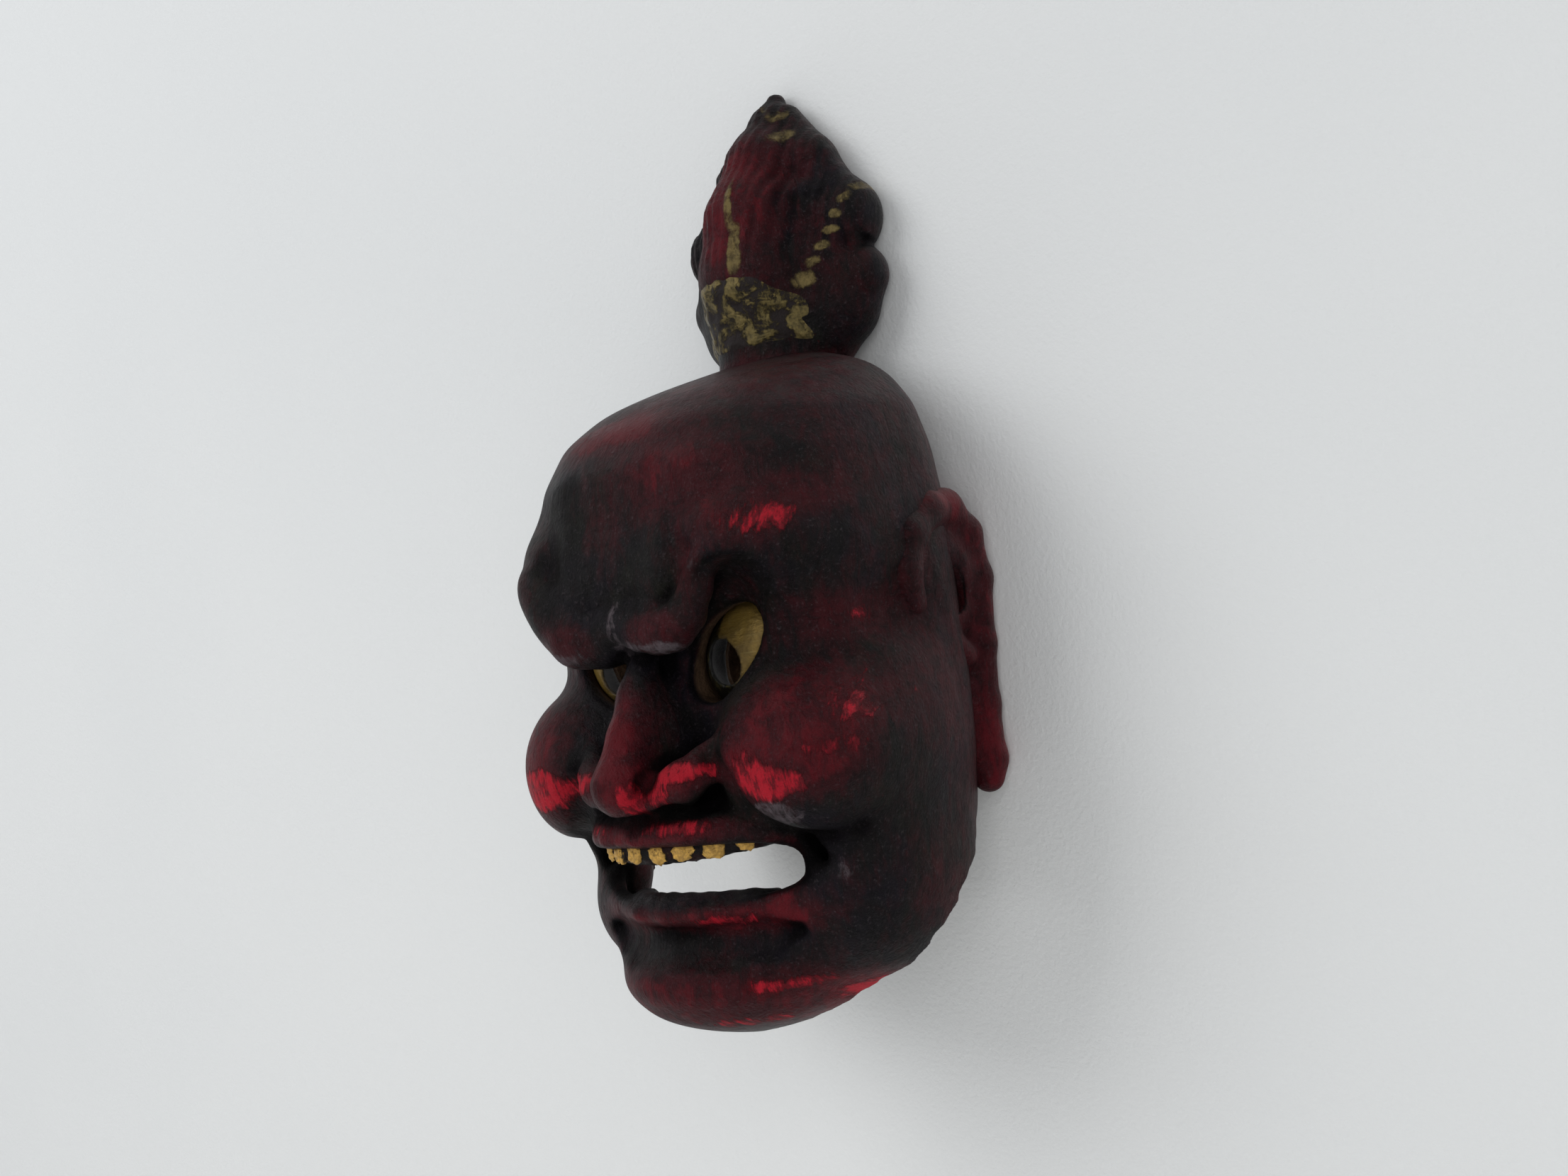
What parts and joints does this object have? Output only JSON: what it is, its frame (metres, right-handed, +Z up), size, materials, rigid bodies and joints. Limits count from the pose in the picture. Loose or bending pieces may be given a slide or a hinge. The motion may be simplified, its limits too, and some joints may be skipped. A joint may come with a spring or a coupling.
{
  "type": "noh mask",
  "caption": "Hollow carved guardian mask with a doweled topknot, pegged ears, pierced gilt eyes, gilt upper teeth and a swinging eye behind the forehead that hangs it on a wall nail.",
  "frame": {"origin": "centre of the hanging eye's bore, half way through its thickness", "axes": "+Z up along the face, +Y into the wall the mask hangs on, so the face looks along -Y, and +X to the viewer's right"},
  "size_m": [0.1826, 0.1531, 0.385],
  "materials": {
    "lacquered_wood": "worn dark red lacquer over black",
    "gilt_lacquer": "rubbed gold paint over dark lacquer",
    "gilt_brass": "aged gilt",
    "gilt_teeth": "gold paint on wood",
    "dark_gum": "dark lacquer",
    "bare_wood": "planed cypress",
    "brass": "aged brass"
  },
  "bodies": {
    "mask": {"face_shell": "lacquered_wood", "ear_left": "lacquered_wood", "ear_right": "lacquered_wood", "topknot": "lacquered_wood", "hair_tie": "gilt_lacquer", "ear_pegs": "bare_wood", "topknot_dowels": "bare_wood", "eye_plate_left": "gilt_brass", "eye_plate_right": "gilt_brass", "eye_pins": "brass", "tooth_bar": "dark_gum", "tooth_bar_pins": "bare_wood", "upper_teeth": "gilt_teeth", "hanger_batten": "bare_wood", "hanger_plate": "brass", "hanger_screws": "brass"},
    "hanging_eye": {"hanging_eye": "brass"}
  },
  "joints": [
    {"name": "hanger_swing", "type": "hinge", "parent": "mask", "child": "hanging_eye", "pos_m": [0, 0, -0.013], "axis": [-1, 0, 0], "range_deg": [-15, 150]}
  ]
}
